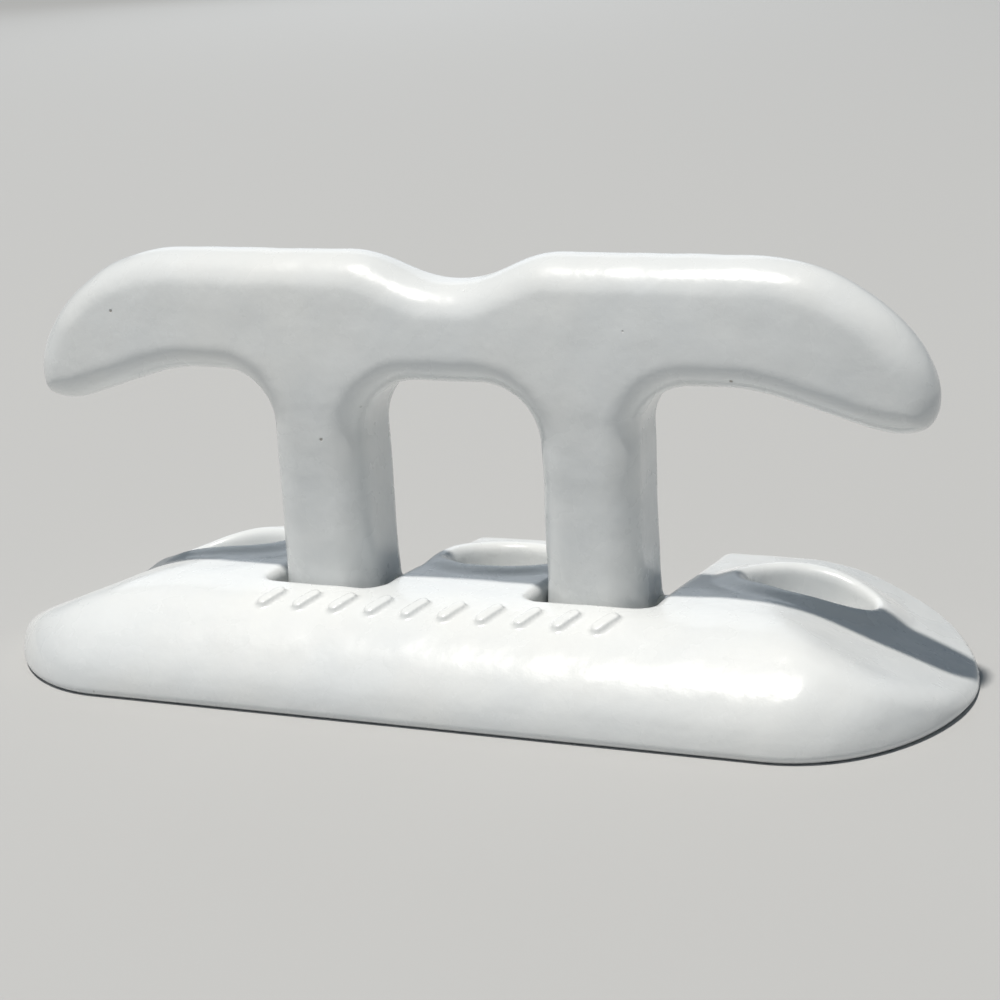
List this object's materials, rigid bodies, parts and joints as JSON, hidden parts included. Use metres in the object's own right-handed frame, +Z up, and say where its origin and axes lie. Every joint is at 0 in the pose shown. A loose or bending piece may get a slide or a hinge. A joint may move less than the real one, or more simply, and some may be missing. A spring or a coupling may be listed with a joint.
{
  "type": "flip-up dock cleat",
  "caption": "Flip-up dock cleat: a cast horn with drooping tips on legs that hinge in a low domed base with dished bolt cups.",
  "frame": {"origin": "middle of the base's footprint, on the dock plane", "axes": "+X along the cleat, +Y towards the side the horn folds down to, +Z up from the dock"},
  "size_m": [0.2198, 0.0952, 0.0914],
  "materials": {
    "white_coating": "gloss white coating over a slightly lumpy casting",
    "stainless": "ground stainless steel",
    "spring_steel": "satin stainless spring steel",
    "keeper_metal": "plain cast aluminium",
    "acetal": "natural acetal, turned"
  },
  "bodies": {
    "base": {"base_casting": "white_coating", "hinge_pin": "stainless", "pin_keeper_left": "keeper_metal", "pin_keeper_right": "keeper_metal", "keeper_screws": "stainless", "disc_spring_left_inner": "spring_steel", "disc_spring_left_outer": "spring_steel", "disc_spring_right_inner": "spring_steel", "disc_spring_right_outer": "spring_steel"},
    "horn": {"horn_casting": "white_coating", "leg_bush_left": "acetal", "leg_bush_right": "acetal", "thrust_washer_left_inner": "acetal", "thrust_washer_left_outer": "acetal", "thrust_washer_right_inner": "acetal", "thrust_washer_right_outer": "acetal"}
  },
  "joints": [
    {"name": "horn_fold", "type": "hinge", "parent": "base", "child": "horn", "pos_m": [0, -0.0027, 0.0096], "axis": [-1, 0, 0], "range_deg": [0, 90]}
  ]
}
